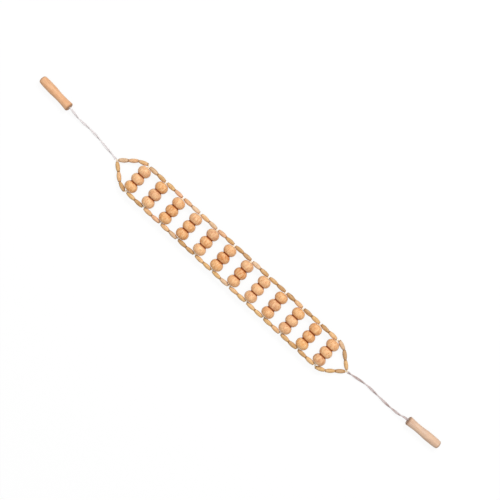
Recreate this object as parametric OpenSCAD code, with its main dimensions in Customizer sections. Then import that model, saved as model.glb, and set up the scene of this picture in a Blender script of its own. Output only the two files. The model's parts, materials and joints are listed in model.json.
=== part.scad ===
// Wooden roller massager: a strap of bored balls strung on two cords, with a turned handle at each end.
// X runs along the strap, Y along the rows of balls, Z up. The strap lies flat on z = 0.

/* [Rollers] */
// Number of rows of balls along the strap
row_count = 12; // [6:2:12]
// Number of balls in each row
ball_count = 3; // [2:1:4]
// Diameter of a ball
ball_d = 25.6; // [22:0.2:30]
// Radius of a ball's round side, seen along the strap
ball_round = 10.2; // [9.8:0.1:11]
// Length of a ball between its two flat ends
ball_len = 18; // [16:0.2:19]
// Width of the eased edge where a ball's flat end meets its round side
ball_edge = 0.8; // [0.4:0.1:1.5]
// Gap between neighbouring balls of a row
ball_gap = 0.3; // [0.2:0.1:1]

/* [Side beads] */
// Number of oval beads on each side of a bay
bay_bead_count = 2; // [2:1:3]
// Length of an oval bead
bead_len = 18.5; // [16:0.5:22]
// Diameter of an oval bead at its middle
bead_d = 8.8; // [7.5:0.1:10]
// Diameter of an oval bead at its ends
bead_tip_d = 5.4; // [4.4:0.1:6]
// Gap between neighbouring oval beads
bead_gap = 0.4; // [0.2:0.1:1]

/* [Cord] */
// Diameter of the stringing cord
cord_d = 2; // [1.6:0.1:2.4]
// Distance from a row's axis to the first bead, where the cord turns
turn_gap = 2.8; // [2.6:0.1:5]
// Free space round a cord in the balls and the handles
cord_play = 0.35; // [0.3:0.05:0.8]
// Free space round the cord in an oval bead
bead_play = 0.2; // [0.15:0.05:0.5]
// Half of the space between the two cords that pass through a row
pass_gap = 0.3; // [0.3:0.05:0.6]

/* [Pointed ends] */
// Distance from the last row's axis to the first bead of the pointed end
end_turn_gap = 4.4; // [4:0.1:8]
// Angle between the first bead of the pointed end and the strap
end_first_angle = 20; // [12:1:26]
// Diameter of the knot at the point
tip_knot_d = 4.6; // [4.2:0.1:6]
// Height of the knot above the ground
tip_knot_lift = 0.4; // [0.2:0.1:2]

/* [Handles] */
// Length of a handle
handle_len = 74; // [64:1:90]
// Diameter of the handle's straight belly
belly_d = 17.6; // [16:0.2:22]
// Diameter of the handle's waist
waist_d = 15.6; // [13:0.1:15.8]
// Diameter of the flared inner end
flare_d = 18; // [16:0.5:22]
// Distance from the outer end to the start of the straight belly
belly_start = 17; // [12:1:24]
// Distance from the inner end to the waist
waist_place = 24; // [18:1:28]
// Drop of the handle's crown from the belly to the outer end
crown_drop = 1.1; // [0.6:0.1:2]
// Rounding of the outer end
outer_round = 3.5; // [2:0.1:4]
// Rounding of the inner end
inner_round = 3; // [1.5:0.1:4]

/* [Stop knots] */
// Diameter of the knot that holds a handle
stop_knot_d = 7.6; // [7:0.1:9]
// Thickness of one wrap of that knot
stop_wrap_d = 2.6; // [2:0.1:3]
// Number of wraps in that knot
stop_wraps = 3; // [2:1:3]
// Free space round the knot in its recess
stop_play = 0.7; // [0.4:0.1:1.2]
// Depth of the knot below the handle's outer end
stop_depth = 1.7; // [1:0.1:4]
// Gap between pieces that rest on each other and turn
seat_gap = 0.3; // [0.2:0.05:0.6]

/* [Hidden] */
$fn = 64;
tube_sides = 8;
route_steps = 2;
bend_steps = 4;
lay_step = 48;
lift_steps = 8;
ball_edge_angle = 20;
// Free space at a knee of the pointed end and at its knot, as shares of a bead's end
knee_share = 0.12;
knot_share = 0.74;
// Half of the space between the two strands of a handle's cord
strand_gap = 0.25;
// Step from wrap to wrap in a stop knot, as a share of a wrap's thickness
wrap_share = 0.85;
// Straight run of a handle's cord before the handle
approach = 7;
// How far a cut reaches past the surface that it starts from
cut_over = 1;
wood_ball = [0.93, 0.74, 0.55];
wood_bead = [0.9, 0.78, 0.6];
wood_handle = [0.9, 0.71, 0.54];
cord_white = [0.9, 0.89, 0.87];

// Rows and bays
cord_r = cord_d / 2;
axis_z = ball_d / 2;
ball_pitch = ball_len + ball_gap;
row_half = (ball_count * ball_pitch - ball_gap) / 2;
pass_offset = cord_r + pass_gap;
ball_bore_r = pass_offset + cord_r + cord_play;
bay_run = bay_bead_count * (bead_len + bead_gap) - bead_gap;
row_pitch = bay_run + 2 * turn_gap;
ball_hub = ball_d / 2 - ball_round;
rim_r = ball_hub + sqrt(pow(ball_round, 2) - pow(ball_len / 2, 2));
bead_swell = (bead_d - bead_tip_d) / 2;
bead_arc_r = (pow(bead_len / 2, 2) + pow(bead_swell, 2)) / (2 * bead_swell);
// The side beads lie as close to the rows as the rims of the end balls let them
side_y = row_half + bead_half(min(rim_r - turn_gap, bead_len / 2)) + seat_gap;

// Pointed ends, measured outwards from the last row's axis in the plane of the two arms
knee_gap = knee_share * bead_tip_d;
knot_gap = max(tip_knot_d / 2 + seat_gap, knot_share * bead_tip_d);
end_lift = max([for (k = [0 : lift_steps]) end_need(rim_r + (ball_d / 2 - rim_r) * k / lift_steps)]);
end_start = [end_turn_gap, side_y + max(end_lift, 0)];
end_corner = [pass_offset, end_start[1] + (end_turn_gap - pass_offset) * tan(end_first_angle)];
end_knee = end_start + (bead_len + knee_gap) * [cos(end_first_angle), -sin(end_first_angle)];
arm_run = knee_gap + 2 * bead_len + bead_gap + knot_gap;
arm_angle = asin(end_knee[1] / arm_run);
knot_reach = end_knee[0] + arm_run * cos(arm_angle);
end_tip = [knot_reach, 0] + (tip_knot_d / 2 + seat_gap / 2) * [-cos(arm_angle), sin(arm_angle)];
knot_z = tip_knot_d / 2 + tip_knot_lift;
end_droop = asin((axis_z - knot_z) / knot_reach);

// Handles and their cords
handle_z = max(belly_d, flare_d) / 2;
strand_offset = cord_r + strand_gap;
handle_bore_r = strand_offset + cord_r + cord_play;
stop_wrap_step = wrap_share * stop_wrap_d;
stop_len = stop_wrap_d + (stop_wraps - 1) * stop_wrap_step;
recess_depth = stop_depth + stop_len + seat_gap;
strand_inside = handle_len - recess_depth + seat_gap;

// Where each cord lies, outwards from its knot: along the strap, across it and above the ground
left_route = [
    [13.4, 1.9, 2.5], [32, 4.1, 2.5], [50, 6.6, 2.5], [66, 8.1, 2.5], [80, 8.8, 2.6], [94, 8.6, 3.6],
    [108, 9.3, 6.2]
];
right_route = [
    [12, 1.5, 2.5], [28, 4.2, 2.5], [46, 6.4, 2.5], [62, 6.1, 2.5], [80, 5.7, 2.5], [98, 5.2, 2.8],
    [112, 5.9, 4.4], [125, 7, 7.2]
];
// Middle of each handle's inner end, outwards from its knot and across the strap
left_seat = [129.2, 12.2];
right_seat = [143.3, 10.5];
// Angle of each handle to the strap
left_angle = 4;
right_angle = 3;

// Half the thickness of a bead at a distance from its end
function bead_half(run) = bead_d / 2 - bead_arc_r + sqrt(pow(bead_arc_r, 2) - pow(run - bead_len / 2, 2));
// Distance of an end ball's side from the middle of its row, at a distance from the row's axis
function ball_side(x) = (ball_count - 1) / 2 * ball_pitch
    + sqrt(max(pow(ball_round, 2) - pow(x - ball_hub, 2), 0));
// How far out the first bead of a pointed end has to start to pass the end ball there
function end_need(x) = let (run = x - end_turn_gap, a = end_first_angle)
    ball_side(x) + 2 * seat_gap + bead_half(run / cos(a)) / cos(a) - side_y + run * tan(a);
function two(i) = i < 10 ? str("0", i) : str(i);
function is_left(end) = end == "left";
function out_sign(end) = is_left(end) ? -1 : 1;
function side_sign(side) = side == "front" ? -1 : 1;
function seat(end) = is_left(end) ? left_seat : right_seat;
function seat_angle(end) = is_left(end) ? left_angle : right_angle;
function knot_x(end) = strap_x + out_sign(end) * (strap_half + knot_drop_reach);
function row_x(i) = strap_x + (i - (row_count + 1) / 2) * row_pitch;
function reach(end) = strap_half + knot_drop_reach + seat(end)[0] + handle_len * cos(seat_angle(end));

strap_half = (row_count - 1) / 2 * row_pitch;
knot_drop_reach = knot_reach * cos(end_droop);
strap_x = (reach("left") - reach("right")) / 2;

// Outline of a ball, wider than long: a round side, two flat ends with eased edges, and a bore
module ball_outline() {
    ease_x = rim_r - ball_edge;
    ease_drop = (ball_d - ease_x) * tan(ball_edge_angle);
    end_y = ball_len / 2;
    intersection() {
        translate([ball_hub, 0]) circle(r = ball_round);
        polygon([
            [ball_bore_r, -end_y], [ease_x, -end_y], [ball_d, ease_drop - end_y],
            [ball_d, end_y - ease_drop], [ease_x, end_y], [ball_bore_r, end_y]
        ]);
    }
}

module ball() {
    rotate([90, 0, 0]) rotate_extrude() ball_outline();
}

// An oval bead along X, starting at the origin
module bead() {
    bore_r = cord_r + bead_play;
    translate([bead_len / 2, 0, 0]) rotate([0, 90, 0]) rotate_extrude() intersection() {
        translate([bead_d / 2 - bead_arc_r, 0]) circle(r = bead_arc_r, $fn = 256);
        translate([bore_r, -bead_len / 2]) square([bead_d, bead_len]);
    }
}

// The bends of a cord that runs along points in the XY plane, each corner bent to bend_r
function turn_at(p, i) = let (a = p[i] - p[i - 1], b = p[i + 1] - p[i])
    atan2(a[0] * b[1] - a[1] * b[0], a[0] * b[0] + a[1] * b[1]);
function trim_at(p, i, bend_r) = i == 0 || i == len(p) - 1 ? 0 : bend_r * tan(abs(turn_at(p, i)) / 2);
function heading_of(v) = atan2(v[1], v[0]);
function bend_points(p, i, bend_r) =
    let (turn = turn_at(p, i), came = heading_of(p[i] - p[i - 1]), r = sign(turn) * bend_r)
    let (start = p[i] - trim_at(p, i, bend_r) * [cos(came), sin(came)])
    [
        for (k = [0 : bend_steps]) let (a = came + turn * k / bend_steps)
            [start[0] + r * (sin(a) - sin(came)), start[1] + r * (cos(came) - cos(a)), 0]
    ];

// A cord with square corners, each bent to bend_r
module bent_cord(p, bend_r) {
    for (i = [0 : len(p) - 2]) {
        run = norm(p[i + 1] - p[i]) - trim_at(p, i, bend_r) - trim_at(p, i + 1, bend_r);
        translate(p[i]) rotate([0, 0, heading_of(p[i + 1] - p[i])])
            translate([trim_at(p, i, bend_r), 0, 0]) rotate([0, 90, 0]) cylinder(r = cord_r, h = run);
    }
    for (i = [1 : len(p) - 2]) {
        turn = turn_at(p, i);
        s = sign(turn);
        came = heading_of(p[i] - p[i - 1]);
        translate(p[i]) rotate([0, 0, came]) translate([-trim_at(p, i, bend_r), s * bend_r, 0])
            rotate([0, 0, s > 0 ? -90 : 90 + turn])
                rotate_extrude(angle = abs(turn)) translate([bend_r, 0]) circle(r = cord_r);
    }
}

// One row of balls on a common axis
module roller(i) {
    color(wood_ball) translate([row_x(i), 0, axis_z])
        for (k = [0 : ball_count - 1]) translate([0, (k - (ball_count - 1) / 2) * ball_pitch, 0]) ball();
}

// The oval beads along one side of a bay
module side_beads(i, side) {
    color(wood_bead) translate([row_x(i) + turn_gap, side_sign(side) * side_y, axis_z])
        for (k = [0 : bay_bead_count - 1]) translate([k * (bead_len + bead_gap), 0, 0]) bead();
}

// The two cords of a bay: each leaves one row, runs along a side and goes into the next row
module bay_cords(i) {
    near = pass_offset;
    far = row_pitch - pass_offset;
    color(cord_white) translate([row_x(i), 0, axis_z]) for (side = [0, 1]) mirror([0, side, 0])
        bent_cord([[near, ball_gap / 2], [near, side_y], [far, side_y], [far, ball_gap / 2]],
            turn_gap - pass_offset);
}

// Carries a shape drawn outwards from the last row's axis to its end of the strap
module at_end(end) {
    translate([strap_x + out_sign(end) * strap_half, 0, axis_z])
        mirror([is_left(end) ? 1 : 0, 0, 0]) rotate([0, end_droop, 0]) children();
}

// The three oval beads along one arm of a pointed end
module end_beads(end, side) {
    color(wood_bead) at_end(end) mirror([0, side == "front" ? 1 : 0, 0]) {
        translate(end_start) rotate([0, 0, -end_first_angle]) bead();
        translate(end_knee) rotate([0, 0, -arm_angle])
            for (k = [0, 1]) translate([knee_gap + k * (bead_len + bead_gap), 0, 0]) bead();
    }
}

// The two cords of a pointed end, from the last row to the knot
module end_cords(end) {
    p = [[pass_offset, ball_gap / 2], end_corner, end_knee, end_tip];
    bends = [for (i = [1, 2]) each bend_points(p, i, cord_d)];
    color(cord_white) at_end(end) for (side = [0, 1]) mirror([0, side, 0])
        tube(concat([[p[0][0], p[0][1], 0]], bends, [[end_tip[0], end_tip[1], 0]]));
}

// Outline of a knot drawn as round wraps side by side, from y = 0 upwards
module knot_outline(outer_r, wrap_d, wrap_step, wraps) {
    core_r = outer_r - wrap_d / 2;
    translate([0, wrap_d / 2]) square([core_r, (wraps - 1) * wrap_step]);
    intersection() {
        for (k = [0 : wraps - 1]) translate([core_r, wrap_d / 2 + k * wrap_step]) circle(d = wrap_d);
        square([outer_r, wrap_d + wraps * wrap_step]);
    }
}

// The knot where the two arms of a pointed end meet
module tip_knot(end) {
    color(cord_white) translate([knot_x(end), 0, knot_z]) sphere(d = tip_knot_d);
}

// The route of a handle's cord, from its knot to the stop knot in the handle
function along(end) = [out_sign(end) * cos(seat_angle(end)), sin(seat_angle(end)), 0];
function handle_in(end) = [knot_x(end) + out_sign(end) * seat(end)[0], seat(end)[1], handle_z];
function free_points(end) = [
    for (p = is_left(end) ? left_route : right_route) [knot_x(end) + out_sign(end) * p[0], p[1], p[2]]
];
function cord_points(end) = concat(
    [[knot_x(end) + out_sign(end) * (tip_knot_d / 2 + seat_gap), 0, knot_z]],
    free_points(end),
    [handle_in(end) - approach * along(end), handle_in(end)]
);
function blend(a, b, c, d, t) =
    (2 * b + (c - a) * t + (2 * a - 5 * b + 4 * c - d) * t * t + (3 * b - a - 3 * c + d) * t * t * t) / 2;
function smooth(p) = [
    for (i = [0 : len(p) - 2]) for (k = [0 : route_steps - 1])
        blend(p[max(i - 1, 0)], p[i], p[i + 1], p[min(i + 2, len(p) - 1)], k / route_steps)
];
function cord_route(end) = concat(
    smooth(cord_points(end)),
    [handle_in(end), handle_in(end) + strand_inside * along(end)]
);
function unit(v) = v / norm(v);
function heading(p, k) = unit(p[min(k + 1, len(p) - 1)] - p[max(k - 1, 0)]);
function across(t) = unit(cross([0, 0, 1], t));

// One of the two strands, wound round the route and straight inside the handle
function strand(route, start) = [
    for (k = [0 : len(route) - 1])
        let (t = heading(route, k), a = start + lay_step * min(k, len(route) - 2))
        route[k] + strand_offset * (cos(a) * across(t) + sin(a) * cross(t, across(t)))
];

// A closed round tube through the given points
module tube(p) {
    n = tube_sides;
    last = len(p) - 1;
    rings = [
        for (k = [0 : last]) let (t = heading(p, k), s = across(t)) for (j = [0 : n - 1])
            p[k] + cord_r * (cos(360 * j / n) * s + sin(360 * j / n) * cross(t, s))
    ];
    walls = [
        for (k = [0 : last - 1]) for (j = [0 : n - 1])
            let (a = k * n + j, b = k * n + (j + 1) % n) each [[a, a + n, b], [b, a + n, b + n]]
    ];
    caps = [for (j = [1 : n - 2]) each [[0, j, j + 1], [last * n, last * n + j + 1, last * n + j]]];
    polyhedron(rings, concat(walls, caps));
}

// The two strands between a knot and its handle
module handle_cord(end) {
    color(cord_white) for (start = [0, 180]) tube(strand(cord_route(end), start));
}

// Carries a shape drawn along Z, from a handle's outer end inwards, to its place
module at_handle(end) {
    translate(handle_in(end) + handle_len * along(end))
        rotate([0, -90, is_left(end) ? 180 - seat_angle(end) : seat_angle(end)]) children();
}

// The knot that holds a handle on its cord
module stop_knot(end) {
    color(cord_white) at_handle(end) translate([0, 0, stop_depth]) rotate_extrude()
        knot_outline(stop_knot_d / 2, stop_wrap_d, stop_wrap_step, stop_wraps);
}

// Outline of a handle, from the outer end upwards: crown, straight belly, waist and flared end
module handle_outline() {
    crown_r = (pow(belly_start, 2) + pow(crown_drop, 2)) / (2 * crown_drop);
    crown_x = belly_d / 2 - crown_r;
    outer_x = crown_x + sqrt(pow(crown_r - outer_round, 2) - pow(belly_start - outer_round, 2));
    outer_y = belly_start - (belly_start - outer_round) * crown_r / (crown_r - outer_round);
    waist_y = handle_len - waist_place;
    flare_rise = (flare_d - waist_d) / 2;
    flare_run = waist_place - inner_round;
    waist_r = (pow(flare_run, 2) + pow(flare_rise, 2)) / (2 * flare_rise) - inner_round;
    waist_x = waist_d / 2 + waist_r;
    inner_x = flare_d / 2 - inner_round;
    inner_y = waist_y + flare_run * waist_r / (waist_r + inner_round);
    difference() {
        union() {
            intersection() {
                translate([crown_x, belly_start]) circle(r = crown_r, $fn = 512);
                translate([0, outer_y]) square([belly_d, belly_start - outer_y]);
            }
            square([outer_x, outer_y]);
            translate([outer_x, outer_round]) circle(r = outer_round);
            difference() {
                union() {
                    translate([0, belly_start]) square([belly_d / 2, waist_y - belly_start]);
                    translate([0, waist_y]) square([flare_d / 2, inner_y - waist_y]);
                }
                translate([waist_x, waist_y]) circle(r = waist_r, $fn = 512);
            }
            translate([0, inner_y]) square([inner_x, handle_len - inner_y]);
            translate([inner_x, handle_len - inner_round]) circle(r = inner_round);
        }
        translate([-belly_d, -cut_over]) square([belly_d + handle_bore_r, handle_len + 2 * cut_over]);
        translate([0, -cut_over]) square([stop_knot_d / 2 + stop_play, recess_depth + cut_over]);
    }
}

// A turned handle that spins on its cord
module handle(end) {
    color(wood_handle) at_handle(end) rotate_extrude() handle_outline();
}

for (i = [1 : row_count])
    roller(i);
for (i = [1 : row_count - 1]) for (side = ["front", "back"])
    side_beads(i, side);
for (i = [1 : row_count - 1])
    bay_cords(i);
for (end = ["left", "right"]) {
    for (side = ["front", "back"])
        end_beads(end, side);
    end_cords(end);
    tip_knot(end);
    handle_cord(end);
    stop_knot(end);
    handle(end);
}
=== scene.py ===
import json
import math

import bpy
import numpy as np
from mathutils import Matrix, Vector


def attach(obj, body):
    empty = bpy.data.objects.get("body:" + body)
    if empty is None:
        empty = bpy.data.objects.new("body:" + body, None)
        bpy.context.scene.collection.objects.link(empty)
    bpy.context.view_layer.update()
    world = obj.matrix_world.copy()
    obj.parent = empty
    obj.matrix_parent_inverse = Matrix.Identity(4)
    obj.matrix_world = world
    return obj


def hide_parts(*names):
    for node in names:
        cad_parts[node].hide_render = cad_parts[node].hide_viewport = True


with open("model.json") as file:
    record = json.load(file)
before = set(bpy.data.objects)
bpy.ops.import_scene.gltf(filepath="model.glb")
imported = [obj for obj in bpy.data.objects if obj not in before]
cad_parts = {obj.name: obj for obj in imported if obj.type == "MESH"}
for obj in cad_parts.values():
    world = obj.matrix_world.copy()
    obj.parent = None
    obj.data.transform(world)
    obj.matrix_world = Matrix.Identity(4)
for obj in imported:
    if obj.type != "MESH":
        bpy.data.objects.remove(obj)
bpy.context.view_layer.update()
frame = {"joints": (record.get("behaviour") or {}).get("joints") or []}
jointAt = {j["name"]: Vector(j["pos_m"]) for j in frame["joints"]}
jointAxis = {j["name"]: Vector(j["axis"]).normalized() for j in frame["joints"]}
rowCount = sum(name.startswith("bend_") for name in jointAt)
bayCount = rowCount - 1
outward = {"left": -1, "right": 1}
across = {"front": -1, "back": 1}
mm = 0.001


def twoDigits(i):
    return f"{i:02d}"


def rowAt(i):
    return jointAt["bend_" + twoDigits(i)]


def inScene(name, data):
    thing = bpy.data.objects.new(name, data)
    bpy.context.scene.collection.objects.link(thing)
    return thing


# Camera straight above the strap, turned so that it runs to the lower right
cameraView = {
    "height": 1.55,            # above the balls' axes
    "fieldWidth": 0.925,       # what the square picture spans at that level
    "turn": 42.6,              # degrees
    "aim": (0.00494, 0.0444),  # from the middle of the rows
    "clipEnd": 20,
}


def placeCamera(view):
    data = bpy.data.cameras.new("stripCamera")
    data.sensor_fit = "HORIZONTAL"
    data.angle = 2 * math.atan(view["fieldWidth"] / 2 / view["height"])
    data.clip_end = view["clipEnd"]
    camera = inScene("stripCamera", data)
    middle = (rowAt(1) + rowAt(rowCount)) / 2
    camera.location = middle + Vector((*view["aim"], view["height"]))
    camera.rotation_euler = (0, 0, math.radians(view["turn"]))
    bpy.context.scene.camera = camera


placeCamera(cameraView)
bpy.context.scene.view_settings.view_transform = "Standard"
print("camera placed")


# Node helpers. A value is a constant, or the socket that it comes from.
def feed(tree, socket, value):
    if isinstance(value, bpy.types.NodeSocket):
        tree.links.new(value, socket)
    else:
        socket.default_value = value


def addNode(tree, kind, values=None, **settings):
    node = tree.nodes.new(kind)
    for key, value in settings.items():
        setattr(node, key, value)
    for key, value in (values or {}).items():
        feed(tree, node.inputs[key], value)
    return node


def newMaterial(name):
    material = bpy.data.materials.new(name)
    material.use_nodes = True
    tree = material.node_tree
    tree.nodes.clear()
    surface = addNode(tree, "ShaderNodeOutputMaterial").inputs["Surface"]
    return material, tree, surface


def mathNode(tree, operation, a, b=0.0, clamp=False):
    return addNode(tree, "ShaderNodeMath", {0: a, 1: b}, operation=operation, use_clamp=clamp).outputs[0]


def mapRange(tree, value, fromLow, fromHigh, toLow=0.0, toHigh=1.0):
    values = {"Value": value, "From Min": fromLow, "From Max": fromHigh, "To Min": toLow, "To Max": toHigh}
    return addNode(tree, "ShaderNodeMapRange", values, clamp=True).outputs["Result"]


def mixColor(tree, amount, low, high):
    return addNode(tree, "ShaderNodeMix", {"Factor": amount, "A": low, "B": high},
                   data_type="RGBA").outputs["Result"]


def mixShader(tree, amount, first, second):
    return addNode(tree, "ShaderNodeMixShader", {0: amount, 1: first, 2: second}).outputs[0]


def attribute(tree, name, output="Fac"):
    return addNode(tree, "ShaderNodeAttribute", attribute_name=name).outputs[output]


def stretched(tree, vector, scale):
    return addNode(tree, "ShaderNodeVectorMath", {0: vector, 1: scale}, operation="MULTIPLY").outputs[0]


def noise(tree, place, settings):
    return addNode(tree, "ShaderNodeTexNoise", {"Vector": place, **settings}).outputs["Fac"]


def bumped(tree, height, strength):
    values = {"Strength": strength, "Distance": 0.1 * mm, "Height": height}
    return addNode(tree, "ShaderNodeBump", values).outputs["Normal"]


# The sRGB standard's curve
def srgb(r, g, b):
    return tuple(c / 12.92 if c <= 0.04045 else ((c + 0.055) / 1.055) ** 2.4 for c in (r, g, b)) + (1,)


# What all the wood shares, drawn in millimetres
woodPattern = {
    "unit": (1000, 1000, 1000),
    "shift": (60, 60, 400),  # how far apart in the tree two pieces can be cut
    "ringStretch": (1, 1, 0.1), "patchStretch": (1, 1, 0.4),
    "flat": (1, 1, 0),       # leaves the distance from the turning axis
    "ringWave": {"Distortion": 3.5, "Detail": 2.0, "Detail Scale": 0.6, "Detail Roughness": 0.5},
    "fibreNoise": {"Scale": 1.0, "Detail": 4.0, "Roughness": 0.6}, "fibreSpan": (0.32, 0.7),
    "fleckNoise": {"Scale": 1.0, "Detail": 1.0, "Roughness": 0.4}, "fleckSpan": (0.6, 0.72),
    "patchNoise": {"Detail": 3.0, "Roughness": 0.55}, "patchSpan": (0.35, 0.65),
    "fibreRelief": 0.5, "fibreRoughness": 0.12, "coatRoughness": 0.22,
}


# Turned and lacquered wood. The grain runs along each piece's own turning axis.
def turnedWood(name, spec, pattern=woodPattern):
    material, tree, surface = newMaterial(name)
    grain = attribute(tree, "grain", "Vector")
    shift = stretched(tree, attribute(tree, "grainShift", "Vector"), pattern["shift"])
    place = addNode(tree, "ShaderNodeVectorMath", {0: stretched(tree, grain, pattern["unit"]), 1: shift},
                    operation="ADD").outputs[0]
    ringWave = {"Vector": stretched(tree, place, pattern["ringStretch"]), "Scale": spec["ringScale"],
                **pattern["ringWave"]}
    rings = addNode(tree, "ShaderNodeTexWave", ringWave, wave_type="RINGS", rings_direction="Z", wave_profile="SAW")
    fibres = noise(tree, stretched(tree, place, spec["fibreScale"]), pattern["fibreNoise"])
    flecks = noise(tree, stretched(tree, place, spec["fleckScale"]), pattern["fleckNoise"])
    patches = noise(tree, stretched(tree, place, pattern["patchStretch"]),
                    {"Scale": spec["patchScale"], **pattern["patchNoise"]})
    fibre = mapRange(tree, fibres, *pattern["fibreSpan"])
    fleck = mapRange(tree, flecks, *pattern["fleckSpan"])
    patch = mapRange(tree, patches, *pattern["patchSpan"], 0.0, spec["patchDepth"])
    ringShade = mathNode(tree, "MULTIPLY", rings.outputs["Fac"], spec["ringDepth"])
    fibreShade = mathNode(tree, "MULTIPLY", fibre, spec["fibreDepth"])
    ramp = addNode(tree, "ShaderNodeValToRGB", {"Fac": attribute(tree, "tint")})
    stops = ramp.color_ramp.elements
    for i, (at, colour) in enumerate(spec["tints"]):
        stop = stops[i] if i < len(stops) else stops.new(at)
        stop.position, stop.color = at, srgb(*colour)
    shade = mathNode(tree, "ADD", ringShade, fibreShade, clamp=True)
    wood = mixColor(tree, shade, ramp.outputs["Color"], srgb(*spec["late"]))
    wood = mixColor(tree, patch, wood, srgb(*spec["patch"]))
    wood = mixColor(tree, mathNode(tree, "MULTIPLY", fleck, spec["fleckDepth"]), wood, srgb(*spec["fleck"]))
    # the ends darken: partly darker end grain, partly painted shade of the grooves where neighbouring pieces meet,
    # most of all round the rim
    height = addNode(tree, "ShaderNodeSeparateXYZ", {0: grain}).outputs["Z"]
    fromMiddle = mathNode(tree, "ABSOLUTE", mathNode(tree, "SUBTRACT", height, spec["middle"]))
    fromAxis = addNode(tree, "ShaderNodeVectorMath", {0: stretched(tree, grain, pattern["flat"])},
                       operation="LENGTH").outputs["Value"]
    nearEnd = mapRange(tree, fromMiddle, spec["endStart"], spec["endFull"], 0.0, spec["endGrainAndShadeDepth"])
    nearRim = mapRange(tree, fromAxis, spec["faceTo"], spec["rimFrom"], spec["faceShare"], 1.0)
    endGrainAndShade = mathNode(tree, "MULTIPLY", mathNode(tree, "MULTIPLY", nearEnd, nearRim), attribute(tree, "endGrainAndShadeShare"))
    wood = mixColor(tree, endGrainAndShade, wood, srgb(*spec["end"]))
    relief = mathNode(tree, "SUBTRACT", mathNode(tree, "MULTIPLY", fibre, pattern["fibreRelief"]), fleck)
    roughest = spec["roughness"] + pattern["fibreRoughness"]
    shader = addNode(tree, "ShaderNodeBsdfPrincipled", {
        "Base Color": wood, "Coat Roughness": pattern["coatRoughness"],
        "Coat Weight": mapRange(tree, endGrainAndShade, 0, 1, spec["coat"], 0),
        "Specular IOR Level": mapRange(tree, endGrainAndShade, 0, 1, spec["gloss"], 0),
        "Roughness": mapRange(tree, fibre, 0, 1, spec["roughness"], roughest),
        "Normal": bumped(tree, relief, spec["bump"])})
    feed(tree, surface, shader.outputs["BSDF"])
    return material


# The "end" colour and the end settings darken each piece towards its ends: partly darker end grain, partly painted
# shade of the grooves where neighbouring pieces meet
ballFinish = {
    "tints": ((0.0, (0.81, 0.60, 0.47)), (0.3, (0.98, 0.79, 0.60)), (0.55, (0.90, 0.65, 0.43)),
              (0.8, (0.97, 0.74, 0.46)), (1.0, (0.80, 0.49, 0.25))),
    "late": (0.76, 0.48, 0.27), "patch": (0.98, 0.82, 0.62), "fleck": (0.58, 0.32, 0.15), "end": (0.60, 0.27, 0.05),
    "ringScale": 0.16, "ringDepth": 0.33, "fibreScale": (0.8, 0.8, 0.16), "fibreDepth": 0.58,
    "fleckScale": (0.85, 0.85, 0.26), "fleckDepth": 0.5, "patchScale": 0.3, "patchDepth": 0.68,
    "middle": 0.0, "endStart": 6.8 * mm, "endFull": 8.7 * mm, "endGrainAndShadeDepth": 0.95,
    "faceTo": 5.6 * mm, "rimFrom": 7 * mm, "faceShare": 0.3,
    "coat": 0.08, "gloss": 0.16, "roughness": 0.36, "bump": 0.25,
}
beadFinish = {
    "tints": ((0.0, (0.92, 0.70, 0.57)), (0.3, (0.92, 0.77, 0.50)), (0.55, (0.80, 0.64, 0.39)),
              (0.8, (0.65, 0.50, 0.26)), (1.0, (0.96, 0.86, 0.74))),
    "late": (0.70, 0.48, 0.28), "patch": (0.95, 0.80, 0.64), "fleck": (0.50, 0.32, 0.16), "end": (0.48, 0.28, 0.11),
    "ringScale": 0.2, "ringDepth": 0.28, "fibreScale": (0.9, 0.9, 0.12), "fibreDepth": 0.55,
    "fleckScale": (0.8, 0.8, 0.22), "fleckDepth": 0.4, "patchScale": 0.3, "patchDepth": 0.36,
    "middle": 0.0, "endStart": 7.4 * mm, "endFull": 9.4 * mm, "endGrainAndShadeDepth": 0.6,
    "faceTo": 1.6 * mm, "rimFrom": 2.4 * mm, "faceShare": 0.6,
    "coat": 0.08, "gloss": 0.2, "roughness": 0.4, "bump": 0.25,
}
handleFinish = {
    "tints": ((0.0, (0.91, 0.69, 0.51)), (0.5, (0.89, 0.73, 0.60)), (1.0, (0.85, 0.76, 0.69))),
    "late": (0.77, 0.55, 0.38), "patch": (0.94, 0.79, 0.64), "fleck": (0.60, 0.40, 0.24), "end": (0.46, 0.28, 0.15),
    "ringScale": 0.12, "ringDepth": 0.26, "fibreScale": (0.6, 0.6, 0.03), "fibreDepth": 0.42,
    "fleckScale": (0.7, 0.7, 0.1), "fleckDepth": 0.3, "patchScale": 0.16, "patchDepth": 0.35,
    "middle": 37 * mm, "endStart": 33 * mm, "endFull": 37.2 * mm, "endGrainAndShadeDepth": 0.7,
    "faceTo": 5 * mm, "rimFrom": 7.5 * mm, "faceShare": 0.5,
    "coat": 0.08, "gloss": 0.25, "roughness": 0.42, "bump": 0.25,
}
ballWood = turnedWood("ballWood", ballFinish)
beadWood = turnedWood("beadWood", beadFinish)
handleWood = turnedWood("handleWood", handleFinish)


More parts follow.
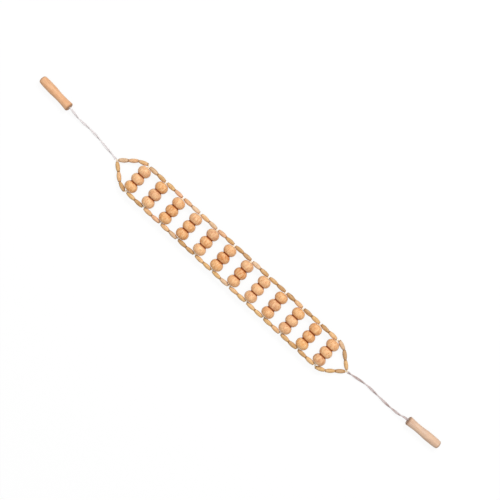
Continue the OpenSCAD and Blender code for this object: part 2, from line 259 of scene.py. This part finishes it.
# Twisted white cotton cord: painted shade in the creases between its yarns, with fine fibres along them
def cottonCord(name, spec):
    material, tree, surface = newMaterial(name)
    place = addNode(tree, "ShaderNodeTexCoord").outputs["Object"]
    fibres = noise(tree, place, spec["fibreNoise"])
    stains = noise(tree, place, spec["stainNoise"])
    # painted shade: a darker colour in the creases between the yarns
    creaseShade = mapRange(tree, attribute(tree, "crease"), 0.0, spec["creaseShadeTo"], 1.0, 0.0)
    cloth = mixColor(tree, creaseShade, srgb(*spec["yarn"]), srgb(*spec["crease"]))
    fibre = mapRange(tree, fibres, *spec["fibreSpan"], 0.0, spec["fibreDepth"])
    cloth = mixColor(tree, fibre, cloth, srgb(*spec["fibre"]))
    stain = mapRange(tree, stains, *spec["stainSpan"], spec["stainLeast"], 1.0)
    soil = mathNode(tree, "MULTIPLY", attribute(tree, "soil"), stain)
    cloth = mixColor(tree, soil, cloth, srgb(*spec["soil"]))
    # cream tint: partly the cotton's own colour, partly painted warm light bounced from the wood
    cloth = mixColor(tree, attribute(tree, "cream"), cloth, srgb(*spec["cream"]))
    shader = addNode(tree, "ShaderNodeBsdfPrincipled", {
        "Base Color": cloth, "Normal": bumped(tree, fibres, spec["bump"]), **spec["sheen"]})
    feed(tree, surface, shader.outputs["BSDF"])
    return material


cordFinish = {
    # the crease colour is painted shade for the creases between the yarns
    "yarn": (0.93, 0.913, 0.915), "crease": (0.85, 0.825, 0.825), "fibre": (0.97, 0.953, 0.955),
    "soil": (0.72, 0.625, 0.605), "cream": (1.0, 0.91, 0.76), "creaseShadeTo": 0.55, "bump": 0.3,
    "fibreNoise": {"Scale": 5200.0, "Detail": 3.0, "Roughness": 0.6}, "fibreSpan": (0.4, 0.7), "fibreDepth": 0.25,
    "stainNoise": {"Scale": 60.0, "Detail": 2.0, "Roughness": 0.5}, "stainSpan": (0.3, 0.7), "stainLeast": 0.6,
    "sheen": {"Roughness": 0.85, "Sheen Weight": 0.25, "Sheen Roughness": 0.5, "Specular IOR Level": 0.2},
}
cordCotton = cottonCord("cordCotton", cordFinish)
print("finishes made")


def storePoints(mesh, name, kind, values):
    field = "vector" if kind == "FLOAT_VECTOR" else "value"
    mesh.attributes.new(name, kind, "POINT").data.foreach_set(field, np.ravel(values))


def arcPoints(centre, radius, start, end, steps):
    angles = np.linspace(math.radians(start), math.radians(end), steps)
    return [(centre[0] + radius * math.cos(a), centre[1] + radius * math.sin(a)) for a in angles]


sharpFrom = math.radians(50)  # edges that turn by more stay crisp


# A turned blank: a closed outline of (radius, height) points, spun about Z
def turnedBlank(name, outline, sides, crowned=False):
    rings = len(outline)
    turns = [2 * math.pi * k / sides for k in range(sides)]
    points = [(r * math.cos(a), r * math.sin(a), z) for r, z in outline for a in turns]
    faces = []
    for i in range(rings):
        for k in range(sides):
            j, m = (i + 1) % rings, (k + 1) % sides
            faces.append((i * sides + k, i * sides + m, j * sides + m, j * sides + k))
    mesh = bpy.data.meshes.new(name)
    mesh.from_pydata(points, [], faces)
    storePoints(mesh, "grain", "FLOAT_VECTOR", points)
    # the crowned end of an outer ball gets neither the end-grain darkening nor the painted contact shade
    storePoints(mesh, "endGrainAndShadeShare", "FLOAT", [0.0 if crowned and z > 0 else 1.0 for _, _, z in points])
    mesh.shade_smooth()
    mesh.set_sharp_from_angle(angle=sharpFrom)
    mesh.update()
    return inScene(name, mesh)


def geometryTree(name, inputs, result):
    tree = bpy.data.node_groups.new(name, "GeometryNodeTree")
    for label, kind in inputs:
        tree.interface.new_socket(label, in_out="INPUT", socket_type="NodeSocket" + kind)
    tree.interface.new_socket(result, in_out="OUTPUT", socket_type="NodeSocketGeometry")
    given = addNode(tree, "NodeGroupInput").outputs
    return tree, given, addNode(tree, "NodeGroupOutput").inputs[result]


def stored(tree, geometry, name, kind, domain, value):
    return addNode(tree, "GeometryNodeStoreNamedAttribute", {"Geometry": geometry, "Name": name, "Value": value},
                   data_type=kind, domain=domain).outputs["Geometry"]


def painted(tree, geometry, finish):
    real = addNode(tree, "GeometryNodeRealizeInstances", {"Geometry": geometry}).outputs["Geometry"]
    return addNode(tree, "GeometryNodeSetMaterial", {"Geometry": real, "Material": finish}).outputs["Geometry"]


# Geometry Nodes that string a blank on points, each turned its own way and with its own tint
def stringingTree():
    tree, given, result = geometryTree("strungPieces", (
        ("Points", "Geometry"), ("Blank", "Object"), ("Finish", "Material"), ("Seed", "Int"), ("Lean", "Float"),
        ("Girth Play", "Float")), "Strung")

    def chance(kind, low, high, salt):
        node = addNode(tree, "FunctionNodeRandomValue", data_type=kind)
        sockets = {s.identifier: s for s in node.inputs if s.enabled}
        names = {"FLOAT": ("Min_001", "Max_001", "Seed"), "FLOAT_VECTOR": ("Min", "Max", "Seed")}[kind]
        for key, value in zip(names, (low, high, mathNode(tree, "ADD", given["Seed"], salt))):
            feed(tree, sockets[key], value)
        return next(s for s in node.outputs if s.enabled)

    along = addNode(tree, "GeometryNodeInputNamedAttribute", {"Name": "along"}, data_type="FLOAT_VECTOR")
    aim = addNode(tree, "FunctionNodeAlignRotationToVector", {"Vector": along.outputs["Attribute"]}, axis="Z",
                  pivot_axis="AUTO")
    # a full random turn about the bore, and a small lean off it
    back = mathNode(tree, "MULTIPLY", given["Lean"], -1.0)
    turn = addNode(tree, "ShaderNodeCombineXYZ", {"X": chance("FLOAT", back, given["Lean"], 1),
                                                  "Y": chance("FLOAT", back, given["Lean"], 2),
                                                  "Z": chance("FLOAT", 0.0, 2 * math.pi, 3)})
    local = addNode(tree, "FunctionNodeEulerToRotation", {0: turn.outputs[0]})
    pose = addNode(tree, "FunctionNodeRotateRotation", {0: aim.outputs[0], 1: local.outputs[0]},
                   rotation_space="LOCAL")
    size = mathNode(tree, "SUBTRACT", 1.0, chance("FLOAT", 0.0, given["Girth Play"], 4))
    girth = addNode(tree, "ShaderNodeCombineXYZ", {"X": size, "Y": size, "Z": 1.0})
    blank = addNode(tree, "GeometryNodeObjectInfo", {"Object": given["Blank"]})
    place = addNode(tree, "GeometryNodeInstanceOnPoints", {
        "Points": given["Points"], "Instance": blank.outputs["Geometry"], "Rotation": pose.outputs[0],
        "Scale": girth.outputs[0]})
    tinted = stored(tree, place.outputs["Instances"], "tint", "FLOAT", "INSTANCE", chance("FLOAT", 0.0, 1.0, 5))
    shift = chance("FLOAT_VECTOR", (-1, -1, -1), (1, 1, 1), 6)
    shifted = stored(tree, tinted, "grainShift", "FLOAT_VECTOR", "INSTANCE", shift)
    feed(tree, result, painted(tree, shifted, given["Finish"]))
    return tree


# Runs a tree on a source object and keeps the result as a plain mesh at the origin
def plainPiece(name, source, tree, values):
    modifier = source.modifiers.new("build", "NODES")
    modifier.node_group = tree
    for item in tree.interface.items_tree:
        if item.in_out == "INPUT" and item.name in values:
            modifier[item.identifier] = values[item.name]
    source.data.update_tag()
    graph = bpy.context.evaluated_depsgraph_get()
    mesh = bpy.data.meshes.new_from_object(source.evaluated_get(graph), preserve_all_data_layers=True,
                                           depsgraph=graph)
    source.modifiers.remove(modifier)
    bpy.data.objects.remove(source)
    mesh.name = name
    return inScene(name, mesh)


stringing = stringingTree()


def strungPiece(name, places, blank, finish, seed, lean, girthPlay):
    mesh = bpy.data.meshes.new(name + "Points")
    mesh.from_pydata([p for p, _ in places], [], [])
    storePoints(mesh, "along", "FLOAT_VECTOR", [tuple(d) for _, d in places])
    values = {"Blank": blank, "Finish": finish, "Seed": seed, "Lean": lean, "Girth Play": girthPlay}
    return plainPiece(name, inScene(name + "Points", mesh), stringing, values)


def dressed(piece, body, slotName, *nodes):
    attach(piece, body)
    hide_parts(*nodes)


# Balls, a little wider than long, with bored ends and rounded rims. The two outer ends of a row are crowned.
ball = {
    "diameter": 25.6 * mm, "round": 10.2 * mm, "length": 18 * mm, "gap": 0.3 * mm, "bore": 5.3 * mm,
    "rim": 2 * mm, "mouth": 0.5 * mm, "perRow": 3,
    "crown": 10,         # degrees
    "touch": 0.26 * mm,  # drawn longer by this, so that a row looks strung tight
    "sides": 48, "sideSteps": 25, "rimSteps": 7, "mouthSteps": 4,
    "seed": 11, "seedPerRow": 7, "outerSeed": 3,
}


def ballOutline(b, crown):
    half, bore, hub = (b["length"] + b["touch"]) / 2, b["bore"] / 2, b["diameter"] / 2 - b["round"]
    rimY = half - b["rim"]
    rimX = hub + math.sqrt((b["round"] - b["rim"]) ** 2 - rimY ** 2)
    lean = math.degrees(math.atan2(rimY, rimX - hub))

    # rim, a face that slopes up to the bore, and the bore's mouth
    def ballEnd(slope):
        rim = arcPoints((rimX, rimY), b["rim"], lean, 90 - slope, b["rimSteps"])[1:]
        rise, mouth = math.radians(slope), b["mouth"]
        lipX = bore + mouth + mouth * math.sin(rise)
        lipY = rim[-1][1] + (rim[-1][0] - lipX) * math.tan(rise)
        lip = (bore + mouth, lipY - mouth * math.cos(rise))
        return rim + arcPoints(lip, mouth, 90 - slope, 180, b["mouthSteps"])

    side = arcPoints((hub, 0), b["round"], -lean, lean, b["sideSteps"])
    return [(r, -z) for r, z in reversed(ballEnd(0))] + side + ballEnd(crown)


middleBlank = turnedBlank("middleBlank", ballOutline(ball, 0), ball["sides"])
outerBlank = turnedBlank("outerBlank", ballOutline(ball, ball["crown"]), ball["sides"], crowned=True)
pitch = ball["length"] + ball["gap"]
rowReach = (ball["perRow"] - 1) / 2 * pitch
for i in range(1, rowCount + 1):
    axis, row, seed = rowAt(i), twoDigits(i), ball["seed"] + ball["seedPerRow"] * i
    inner = [(axis + Vector((0, k * pitch - rowReach, 0)), (0, 1, 0)) for k in range(1, ball["perRow"] - 1)]
    outer = [(axis + Vector((0, sign * rowReach, 0)), (0, sign, 0)) for sign in across.values()]
    for label, places, blank, salt in (("middleBall", inner, middleBlank, 0),
                                       ("outerBalls", outer, outerBlank, ball["outerSeed"])):
        balls = strungPiece(label + row, places, blank, ballWood, seed + salt, 0.0, 0.0)
        dressed(balls, "row_" + row, "ball_wood", "roller_" + row)
print("ball rows strung")


# Oval beads along the sides and the arms of the two pointed ends
bead = {
    "length": 18.5 * mm, "diameter": 8.8 * mm, "tip": 5.4 * mm, "bore": 2.4 * mm, "gap": 0.4 * mm, "rim": 0.4 * mm,
    "perBay": 2, "lean": math.radians(2), "girthPlay": 0.1,
    "touch": 0.15 * mm, "reach": 0.7 * mm,  # drawn longer towards the next bead and towards the rows
    "sides": 28, "sideSteps": 17, "rimSteps": 5,
    "seed": 300, "seedPerBay": 10, "armSeed": 800, "seedPerEnd": 44, "kneeSeed": 5,
}


# The arc along a bead's side: how far its centre is from the bead's axis, and its radius
def beadArc(length):
    swell = (bead["diameter"] - bead["tip"]) / 2
    radius = ((length / 2) ** 2 + swell ** 2) / (2 * swell)
    return bead["diameter"] / 2 - radius, radius


def beadOutline(length):
    centre, radius = beadArc(length)
    rimY = length / 2 - bead["rim"]
    rimX = centre + math.sqrt((radius - bead["rim"]) ** 2 - rimY ** 2)
    lean = math.degrees(math.atan2(rimY, rimX - centre))
    side = arcPoints((centre, 0), radius, -lean, lean, bead["sideSteps"])
    rim = arcPoints((rimX, rimY), bead["rim"], lean, 90, bead["rimSteps"])[1:]
    upper = rim + [(bead["bore"] / 2, length / 2)]
    return [(r, -z) for r, z in reversed(upper)] + side + upper


# Half the thickness of a bead at a distance from its end
def beadHalf(run):
    centre, radius = beadArc(bead["length"])
    return centre + math.sqrt(radius ** 2 - (run - bead["length"] / 2) ** 2)


# The stringing cords, two side by side through every row
cord = {
    "diameter": 2 * mm, "passGap": 0.3 * mm, "turnGap": 2.8 * mm, "seatGap": 0.3 * mm,
    "sides": 18, "yarns": 3, "crease": 0.18, "lay": 5.5 * mm, "step": 0.5 * mm,
    "drawn": 2.36 * mm, "soil": 0.1, "cream": 0.85,  # the yarns fluff out, and their cream tint is partly the cotton's own colour and partly painted warm light bounced from the wood
}
cordRadius = cord["diameter"] / 2
passOffset = cordRadius + cord["passGap"]
rowHalf = (ball["perRow"] * pitch - ball["gap"]) / 2
rowZ = rowAt(1).z
ballHub = ball["diameter"] / 2 - ball["round"]
rimRadius = ballHub + math.sqrt(ball["round"] ** 2 - (ball["length"] / 2) ** 2)

# The side beads lie as close to the rows as the rims of the end balls let them
sideY = rowHalf + beadHalf(min(rimRadius - cord["turnGap"], bead["length"] / 2)) + cord["seatGap"]
endwiseLength = bead["length"] + bead["touch"] + bead["reach"]
betweenLength = bead["length"] + 2 * bead["touch"]
endwiseBlank = turnedBlank("endwiseBlank", beadOutline(endwiseLength), bead["sides"])
betweenBlank = turnedBlank("betweenBlank", beadOutline(betweenLength), bead["sides"])
tuck = (bead["reach"] - bead["touch"]) / 2
beadPitch = bead["length"] + bead["gap"]
for i in range(1, bayCount + 1):
    bay, start = twoDigits(i), rowAt(i).x + cord["turnGap"]
    for side, sign in across.items():
        centres = [start + bead["length"] / 2 + k * beadPitch for k in range(bead["perBay"])]
        places = [((x + tuck * way, sign * sideY, rowZ), (1, 0, 0)) for x, way in zip(centres, (-1, 1))]
        beads = strungPiece(f"sideBeads{bay}{side.title()}", places, endwiseBlank, beadWood,
                            bead["seed"] + bead["seedPerBay"] * i + sign, bead["lean"], bead["girthPlay"])
        dressed(beads, "bay_" + bay, "bead_wood", f"side_beads_{bay}_{side}")
print("side beads strung")

# The arms of a pointed end, in their own plane: x outwards from the last row's axis, y across the strap
end = {
    "turnGap": 4.4 * mm, "firstAngle": math.radians(20), "kneeGap": 0.12 * bead["tip"], "knot": 4.6 * mm,
    "knotGap": 0.74 * bead["tip"], "liftSteps": 8,
}


# How far out the first bead has to start to pass the end ball
def endNeed(x):
    run, angle = x - end["turnGap"], end["firstAngle"]
    ballSide = rowReach + math.sqrt(max(ball["round"] ** 2 - (x - ballHub) ** 2, 0))
    beadSide = beadHalf(run / math.cos(angle)) / math.cos(angle)
    return ballSide + 2 * cord["seatGap"] + beadSide - sideY + run * math.tan(angle)


endLift = max(endNeed(rimRadius + (ball["diameter"] / 2 - rimRadius) * k / end["liftSteps"])
              for k in range(end["liftSteps"] + 1))
firstWay = Vector((math.cos(end["firstAngle"]), -math.sin(end["firstAngle"])))
endStart = Vector((end["turnGap"], sideY + endLift))
endCorner = Vector((passOffset, endStart.y + (end["turnGap"] - passOffset) * math.tan(end["firstAngle"])))
endKnee = endStart + (bead["length"] + end["kneeGap"]) * firstWay
armRun = end["kneeGap"] + 2 * bead["length"] + bead["gap"] + end["knotGap"]
armAngle = math.asin(endKnee.y / armRun)
armWay = Vector((math.cos(armAngle), -math.sin(armAngle)))
knotReach = endKnee.x + armRun * armWay.x
endDroop = math.asin((rowZ - jointAt["swing_left"].z) / knotReach)


def endPlace(endName, x, y):
    row = rowAt(1) if endName == "left" else rowAt(rowCount)
    return row + Vector((outward[endName] * x * math.cos(endDroop), y, -x * math.sin(endDroop)))


armStarts = [(endStart - tuck * firstWay, firstWay), (endKnee + end["kneeGap"] * armWay, armWay),
             (endKnee + (end["kneeGap"] + beadPitch + tuck) * armWay, armWay)]
for endName in outward:
    for side, sign in across.items():
        places = []
        for point, way in armStarts:
            tip = point + bead["length"] * way
            a, b = (endPlace(endName, p.x, sign * p.y) for p in (point, tip))
            places.append(((a + b) / 2, (b - a).normalized()))
        seed = bead["armSeed"] + bead["seedPerEnd"] * outward[endName] + sign
        for label, some, blank, salt in (("endBeads", places[::2], endwiseBlank, 0),
                                         ("kneeBead", places[1:2], betweenBlank, bead["kneeSeed"])):
            beads = strungPiece(label + endName.title() + side.title(), some, blank, beadWood, seed + salt,
                                bead["lean"] / 2, bead["girthPlay"])
            dressed(beads, "end_" + endName, "bead_wood", f"end_beads_{endName}_{side}")
print("pointed ends strung")


# Geometry Nodes that lay a cord of twisted yarns along a curve
def cordTree():
    tree, given, result = geometryTree("twistedCord", (
        ("Path", "Geometry"), ("Radius", "Float"), ("Lay", "Float"), ("Step", "Float"), ("Crease", "Float"),
        ("Yarns", "Float"), ("Sides", "Int"), ("Soil", "Float"), ("Cream", "Float"), ("Finish", "Material")), "Cord")
    even = addNode(tree, "GeometryNodeResampleCurve", {"Curve": given["Path"], "Length": given["Step"]},
                   mode="LENGTH")
    run = addNode(tree, "GeometryNodeSplineParameter").outputs["Length"]
    angle = mathNode(tree, "MULTIPLY", mathNode(tree, "DIVIDE", run, given["Lay"]), 2 * math.pi)
    twist = addNode(tree, "GeometryNodeSetCurveTilt", {"Curve": even.outputs["Curve"], "Tilt": angle})
    # a ring with a lobe for each yarn
    ring = addNode(tree, "GeometryNodeCurvePrimitiveCircle", {
        "Resolution": given["Sides"], "Radius": given["Radius"]}, mode="RADIUS")
    part = mathNode(tree, "DIVIDE", addNode(tree, "GeometryNodeInputIndex").outputs[0], given["Sides"])
    lobes = mathNode(tree, "MULTIPLY", mathNode(tree, "MULTIPLY", part, math.pi), given["Yarns"])
    bulge = mathNode(tree, "ABSOLUTE", mathNode(tree, "COSINE", lobes))
    dip = mathNode(tree, "MULTIPLY", mathNode(tree, "SUBTRACT", 1.0, bulge), given["Crease"])
    place = addNode(tree, "GeometryNodeInputPosition").outputs[0]
    scaled = addNode(tree, "ShaderNodeVectorMath", {0: place, "Scale": mathNode(tree, "SUBTRACT", 1.0, dip)},
                     operation="SCALE")
    # marks the creases between the yarns, where the cord's material paints shade
    marked = stored(tree, ring.outputs["Curve"], "crease", "FLOAT", "POINT", bulge)
    shape = addNode(tree, "GeometryNodeSetPosition", {"Geometry": marked, "Position": scaled.outputs[0]})
    sweep = addNode(tree, "GeometryNodeCurveToMesh", {
        "Curve": twist.outputs["Curve"], "Profile Curve": shape.outputs["Geometry"], "Fill Caps": True})
    last = addNode(tree, "GeometryNodeSetShadeSmooth", {"Geometry": sweep.outputs["Mesh"]}).outputs["Geometry"]
    for label in ("Soil", "Cream"):
        last = stored(tree, last, label.lower(), "FLOAT", "POINT", given[label])
    feed(tree, result, painted(tree, last, given["Finish"]))
    return tree


cordNodes = cordTree()


def cordPiece(name, paths, radius=cord["drawn"] / 2, closed=False, soil=cord["soil"], cream=cord["cream"]):
    curve = bpy.data.curves.new(name + "Path", "CURVE")
    curve.dimensions = "3D"
    for path in paths:
        spline = curve.splines.new("POLY")
        spline.points.add(len(path) - 1)
        spline.points.foreach_set("co", np.ravel([(*p, 1) for p in path]))
        spline.use_cyclic_u = closed
    values = {"Radius": radius, "Lay": cord["lay"], "Step": cord["step"], "Crease": cord["crease"],
              "Yarns": float(cord["yarns"]), "Sides": cord["sides"], "Soil": soil, "Cream": cream,
              "Finish": cordCotton}
    return plainPiece(name, inScene(name + "Path", curve), cordNodes, values)


# A path along flat points with every corner bent to a radius
def bentPath(points, radius, steps=8):
    path = [points[0]]
    for before, corner, after in zip(points, points[1:], points[2:]):
        came, goes = (corner - before).normalized(), (after - corner).normalized()
        turn = -came.angle_signed(goes)
        start = corner - radius * math.tan(abs(turn) / 2) * came
        heading, signed = math.atan2(came.y, came.x), math.copysign(radius, turn)
        for k in range(steps + 1):
            a = heading + turn * k / steps
            bend = Vector((math.sin(a) - math.sin(heading), math.cos(heading) - math.cos(a)))
            path.append(start + signed * bend)
    path.append(points[-1])
    return path


# Each bay has two cords: out of one row, along a side and into the next row
near, far = passOffset, rowAt(2).x - rowAt(1).x - passOffset
bayCorners = [(near, ball["gap"] / 2), (near, sideY), (far, sideY), (far, ball["gap"] / 2)]
bayPath = bentPath([Vector(corner) for corner in bayCorners], cord["turnGap"] - passOffset)
for i in range(1, bayCount + 1):
    bay = twoDigits(i)
    paths = [[rowAt(i) + Vector((p.x, sign * p.y, 0)) for p in bayPath] for sign in across.values()]
    dressed(cordPiece("bayCords" + bay, paths), "bay_" + bay, "cord", "bay_cords_" + bay)

endTip = Vector((knotReach, 0)) - (end["knot"] / 2 - cordRadius) * armWay  # runs into the knot
endPath = bentPath([Vector((passOffset, ball["gap"] / 2)), endCorner, endKnee, endTip], cord["diameter"])
for endName in outward:
    paths = [[endPlace(endName, p.x, sign * p.y) for p in endPath] for sign in across.values()]
    dressed(cordPiece("endCords" + endName.title(), paths), "end_" + endName, "cord", "end_cords_" + endName)
print("stringing cords laid")


# A tight overhand knot about an axis
def knotPath(centre, axis, reach, height, steps=72):
    turn = Vector((0, 0, 1)).rotation_difference(axis)
    path = []
    for k in range(steps):
        t = 2 * math.pi * k / steps
        x, y = math.sin(t) + 2 * math.sin(2 * t), math.cos(t) - 2 * math.cos(2 * t)
        path.append(centre + turn @ Vector((reach * x / 3, reach * y / 3, -height * math.sin(3 * t))))
    return path


knot = {
    "tipYarn": 0.9 * mm, "tipReach": 1.4 * mm, "tipHeight": 0.9 * mm,
    "stopYarn": 1.25 * mm, "stopReach": 2.5 * mm, "stopHeight": 1.9 * mm,
}
for endName in outward:
    path = knotPath(jointAt["swing_" + endName], Vector((outward[endName], 0, 0)), knot["tipReach"],
                    knot["tipHeight"])
    tipKnot = cordPiece("tipKnot" + endName.title(), [path], knot["tipYarn"], True)
    dressed(tipKnot, "end_" + endName, "cord", "tip_knot_" + endName)

# Where each handle's cord lies
lead = {
    "routes": {  # in millimetres: outwards from the knot, across the strap and above the ground
        "left": ((13.4, 1.9, 2.5), (32, 4.1, 2.5), (50, 6.6, 2.5), (66, 8.1, 2.5), (80, 8.8, 2.6), (94, 8.6, 3.6),
                 (108, 9.3, 6.2)),
        "right": ((12, 1.5, 2.5), (28, 4.2, 2.5), (46, 6.4, 2.5), (62, 6.1, 2.5), (80, 5.7, 2.5), (98, 5.2, 2.8),
                  (112, 5.9, 4.4), (125, 7, 7.2)),
    },
    "approach": 7 * mm, "inside": 65.28 * mm, "yarn": 1.2 * mm, "strandOffset": 1.25 * mm,
    "routeSteps": 12, "turnPerStep": math.radians(8),
    "soil": {"left": 0.22, "right": 0.95}, "cream": 0.0,  # soiled by handling, and without the cream tint
}


# A Catmull-Rom spline's point between b and c
def splinePoint(a, b, c, d, t):
    return (2 * b + (c - a) * t + (2 * a - 5 * b + 4 * c - d) * t * t + (3 * b - a - 3 * c + d) * t ** 3) / 2


def leadRoute(endName):
    knotAt, seat, way = jointAt["swing_" + endName], jointAt["spin_" + endName], jointAxis["spin_" + endName]
    sign, steps = outward[endName], lead["routeSteps"]
    points = [knotAt + Vector((sign * (end["knot"] / 2 + cord["seatGap"]), 0, 0))]
    points += [Vector((knotAt.x + sign * x * mm, y * mm, z * mm)) for x, y, z in lead["routes"][endName]]
    points += [seat - lead["approach"] * way, seat]
    route = []
    for i in range(len(points) - 1):
        four = [points[max(i - 1, 0)], points[i], points[i + 1], points[min(i + 2, len(points) - 1)]]
        route += [splinePoint(*four, k / steps) for k in range(steps)]
    return route + [seat], seat + lead["inside"] * way


def strandPath(endName, start):
    route, stop = leadRoute(endName)
    path = []
    for k, point in enumerate(route):
        ahead = route[k + 1] if k + 1 < len(route) else stop
        way = (ahead - route[max(k - 1, 0)]).normalized()
        side = Vector((0, 0, 1)).cross(way).normalized()
        a = start + lead["turnPerStep"] * k
        path.append(point + lead["strandOffset"] * (math.cos(a) * side + math.sin(a) * way.cross(side)))
    return path + [stop + (path[-1] - route[-1])]


for endName in outward:
    seat, way = jointAt["spin_" + endName], jointAxis["spin_" + endName]
    knotAt = seat + (lead["inside"] + knot["stopHeight"] + knot["stopYarn"]) * way
    path = knotPath(knotAt, way, knot["stopReach"], knot["stopHeight"])
    stopKnot = cordPiece("stopKnot" + endName.title(), [path], knot["stopYarn"], True)
    dressed(stopKnot, "lead_" + endName, "cord", "stop_knot_" + endName)
    for label, start in (("A", 0.0), ("B", math.pi)):
        path = strandPath(endName, start)
        strand = cordPiece(f"handleCord{endName.title()}{label}", [path], lead["yarn"], soil=lead["soil"][endName],
                           cream=lead["cream"])
        dressed(strand, "lead_" + endName, "cord", "handle_cord_" + endName)
print("handle cords laid")


# Turned handles: a crowned outer end, a straight belly, a waist and a flared inner end
handle = {
    "length": 74 * mm, "belly": 17.6 * mm, "waist": 15.6 * mm, "flare": 18 * mm, "bellyStart": 17 * mm,
    "waistPlace": 24 * mm, "crownDrop": 1.1 * mm, "outerRound": 3.5 * mm, "innerRound": 3 * mm, "bore": 5.2 * mm,
    "recess": 9 * mm, "recessDepth": 9.02 * mm, "mouth": 1.2 * mm,
    "sides": 72, "roundSteps": 9, "waistSteps": 17, "mouthSteps": 4,
    "tint": {"left": 0.05, "right": 0.95}, "grainShift": {"left": (-0.4, 0.3, -0.2), "right": (0.4, 0.3, 0.2)},
}


def handleOutline(h):
    belly, waist, flare = h["belly"] / 2, h["waist"] / 2, h["flare"] / 2
    crown = (h["bellyStart"] ** 2 + h["crownDrop"] ** 2) / (2 * h["crownDrop"])
    crownX = belly - crown
    outer, inner = h["outerRound"], h["innerRound"]
    outerX = crownX + math.sqrt((crown - outer) ** 2 - (h["bellyStart"] - outer) ** 2)
    outerLean = math.degrees(math.atan2(outer - h["bellyStart"], outerX - crownX))
    waistY = h["length"] - h["waistPlace"]
    rise, run = flare - waist, h["waistPlace"] - inner
    waistRadius = (run ** 2 + rise ** 2) / (2 * rise) - inner
    waistX = waist + waistRadius
    innerX = flare - inner
    innerLean = math.degrees(math.atan2(run, innerX - waistX))
    bellyLean = math.degrees(math.acos((waistX - belly) / waistRadius))
    points = arcPoints((outerX, outer), outer, -90, outerLean, h["roundSteps"])
    points += arcPoints((crownX, h["bellyStart"]), crown, outerLean, 0, h["roundSteps"])[1:]
    points += arcPoints((waistX, waistY), waistRadius, 180 + bellyLean, innerLean, h["waistSteps"])
    points += arcPoints((innerX, h["length"] - inner), inner, innerLean - 180, 90, h["roundSteps"])[1:]
    bore, recess, mouth = h["bore"] / 2, h["recess"] / 2, h["mouth"]
    points += arcPoints((bore + mouth, h["length"] - mouth), mouth, 90, 180, h["mouthSteps"])
    points += [(bore, h["recessDepth"]), (recess, h["recessDepth"])]
    return points + arcPoints((recess + mouth / 2, mouth / 2), mouth / 2, 180, 270, h["mouthSteps"])


handleBlank = turnedBlank("handleBlank", handleOutline(handle), handle["sides"])
for endName in outward:
    seat, way = jointAt["spin_" + endName], jointAxis["spin_" + endName]
    turn = Vector((0, 0, 1)).rotation_difference(-way).to_matrix().to_4x4()
    mesh = handleBlank.data.copy()
    mesh.transform(Matrix.Translation(seat + handle["length"] * way) @ turn)
    mesh.materials.append(handleWood)
    count = len(mesh.vertices)
    storePoints(mesh, "tint", "FLOAT", [handle["tint"][endName]] * count)
    storePoints(mesh, "grainShift", "FLOAT_VECTOR", [handle["grainShift"][endName]] * count)
    grip = inScene("turnedHandle" + endName.title(), mesh)
    dressed(grip, "grip_" + endName, "handle_wood", "handle_" + endName)
for blank in (middleBlank, outerBlank, endwiseBlank, betweenBlank, handleBlank):
    bpy.data.objects.remove(blank)
print("handles turned")


# White floor that keeps a faint shadow, white surroundings and soft light from above
studio = {
    "floorSize": 8.0, "floorShade": 0.95, "floorBounce": 0.42, "whiteShare": 0.9,
    "skyLow": 0.2, "skyHigh": 0.95, "skyDim": 0.35, "skyBright": 0.99,
    "keyPower": 22.5, "keySize": 0.9, "keyPlace": (-0.04, 1.23, 1.57),
}


def grey(level):
    return (level, level, level, 1)


def seenWhite(tree):
    rays = addNode(tree, "ShaderNodeLightPath")
    seen = mathNode(tree, "MAXIMUM", rays.outputs["Is Camera Ray"], rays.outputs["Is Glossy Ray"])
    return mathNode(tree, "MAXIMUM", seen, rays.outputs["Is Transmission Ray"])


def makeFloor(s):
    material, tree, surface = newMaterial("paleFloor")
    dim = addNode(tree, "ShaderNodeBsdfDiffuse", {"Color": grey(s["floorBounce"])}).outputs[0]
    matt = addNode(tree, "ShaderNodeBsdfDiffuse", {"Color": grey(s["floorShade"])}).outputs[0]
    white = addNode(tree, "ShaderNodeEmission", {"Color": grey(1), "Strength": 1.0}).outputs[0]
    pale = mixShader(tree, s["whiteShare"], matt, white)
    feed(tree, surface, mixShader(tree, seenWhite(tree), dim, pale))
    half = s["floorSize"] / 2
    mesh = bpy.data.meshes.new("paleFloor")
    mesh.from_pydata([(-half, -half, 0), (half, -half, 0), (half, half, 0), (-half, half, 0)], [], [(0, 1, 2, 3)])
    mesh.materials.append(material)
    floor = inScene("paleFloor", mesh)


# Bright overhead and dim towards the horizon, as in a light tent
def makeSky(s):
    world = bpy.data.worlds.new("softRoom")
    world.use_nodes = True
    tree = world.node_tree
    tree.nodes.clear()
    way = addNode(tree, "ShaderNodeTexCoord").outputs["Generated"]
    height = addNode(tree, "ShaderNodeSeparateXYZ", {0: way}).outputs["Z"]
    level = mapRange(tree, height, s["skyLow"], s["skyHigh"], s["skyDim"], s["skyBright"])
    sky = addNode(tree, "ShaderNodeBackground", {"Color": grey(1), "Strength": level}).outputs[0]
    white = addNode(tree, "ShaderNodeBackground", {"Color": grey(1), "Strength": 1.0}).outputs[0]
    addNode(tree, "ShaderNodeOutputWorld", {"Surface": mixShader(tree, seenWhite(tree), sky, white)})
    bpy.context.scene.world = world


def softLamp(name, place, size, power):
    data = bpy.data.lights.new(name, "AREA")
    data.shape, data.size, data.energy = "DISK", size, power
    lamp = inScene(name, data)
    lamp.location = place
    lamp.rotation_euler = (-Vector(place)).to_track_quat("-Z", "Y").to_euler()
    lamp.visible_camera = False


makeFloor(studio)
makeSky(studio)
softLamp("keyLamp", studio["keyPlace"], studio["keySize"], studio["keyPower"])
print("studio lit")
